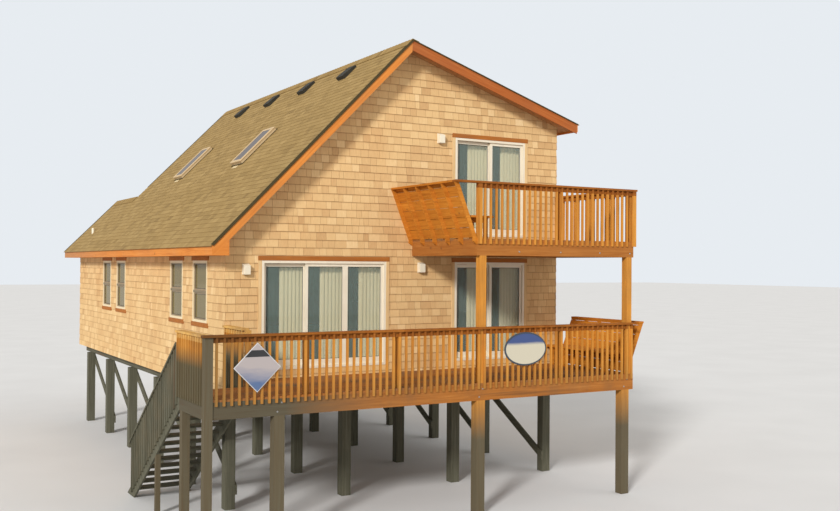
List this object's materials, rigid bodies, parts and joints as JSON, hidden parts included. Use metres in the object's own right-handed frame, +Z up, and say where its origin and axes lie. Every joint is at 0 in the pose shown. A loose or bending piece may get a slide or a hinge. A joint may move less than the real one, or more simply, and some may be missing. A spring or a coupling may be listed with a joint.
{
  "type": "beach house on timber piles",
  "caption": "Shingled two-storey beach house on timber piles with front decks, leaning benches, an outside stair and sliding glass doors.",
  "frame": {"origin": "centre of the overall box in plan, on the plane of the piles' feet", "axes": "+Z up; +Y from the front decks towards the rear wing; +X to the right of someone who faces the front"},
  "size_m": [9.6394, 16.0464, 9.26],
  "materials": {
    "wall_shingles": "matte",
    "roof_shingles": "matte",
    "cedar_trim": "satin",
    "deck_timber": "matte",
    "pile_timber": "matte",
    "floor_boards": "satin",
    "white_vinyl": "satin",
    "window_glass": "gloss",
    "vent_metal": "matte",
    "lamp_housing": "satin"
  },
  "bodies": {
    "house": {"house_piles": "pile_timber", "pile_braces": "pile_timber", "floor_girders": "pile_timber", "ground_floor": "floor_boards", "upper_floor": "floor_boards", "front_sill_wall": "wall_shingles", "front_wall_left": "wall_shingles", "front_wall_middle": "wall_shingles", "front_wall_right": "wall_shingles", "front_gable": "wall_shingles", "left_wall": "wall_shingles", "right_wall": "wall_shingles", "wing_right_wall": "wall_shingles", "rear_wall": "wall_shingles", "rear_gable": "wall_shingles", "main_roof_left": "roof_shingles", "main_roof_right": "roof_shingles", "wing_roof_left": "roof_shingles", "wing_roof_right": "roof_shingles", "left_rake_boards": "cedar_trim", "right_rake_boards": "cedar_trim", "eave_boards": "cedar_trim", "skylight_curbs": "cedar_trim", "skylight_glass": "window_glass", "roof_vents": "vent_metal", "vent_pipe": "white_vinyl", "window_frames": "white_vinyl", "window_glass": "window_glass", "casing_boards": "cedar_trim", "wide_door_frame": "white_vinyl", "pair_door_frame": "white_vinyl", "upper_door": "white_vinyl", "fixed_door_glass": "window_glass", "blind_headrails": "white_vinyl", "wall_lights": "lamp_housing", "deck_posts": "deck_timber", "lower_deck_frame": "deck_timber", "landing_frame": "deck_timber", "lower_deck_boards": "deck_timber", "lower_front_rail": "deck_timber", "lower_side_rails": "deck_timber", "lower_bench_back": "deck_timber", "lower_bench_seat": "deck_timber", "upper_deck_frame": "deck_timber", "upper_deck_boards": "deck_timber", "upper_front_rail": "deck_timber", "upper_right_rail": "deck_timber", "upper_bench_back": "deck_timber", "upper_bench_seat": "deck_timber", "stair_stringers": "deck_timber", "stair_treads": "deck_timber", "stair_rail": "deck_timber"},
    "wide_slider": {"wide_door_slider": "white_vinyl", "wide_slider_glass": "window_glass"},
    "pair_slider": {"pair_door_slider": "white_vinyl", "pair_slider_glass": "window_glass"}
  },
  "joints": [
    {"name": "wide_door_slide", "type": "slide", "parent": "house", "child": "wide_slider", "axis": [1, 0, 0], "range_m": [0, 0.86]},
    {"name": "pair_door_slide", "type": "slide", "parent": "house", "child": "pair_slider", "axis": [1, 0, 0], "range_m": [0, 0.81]}
  ]
}
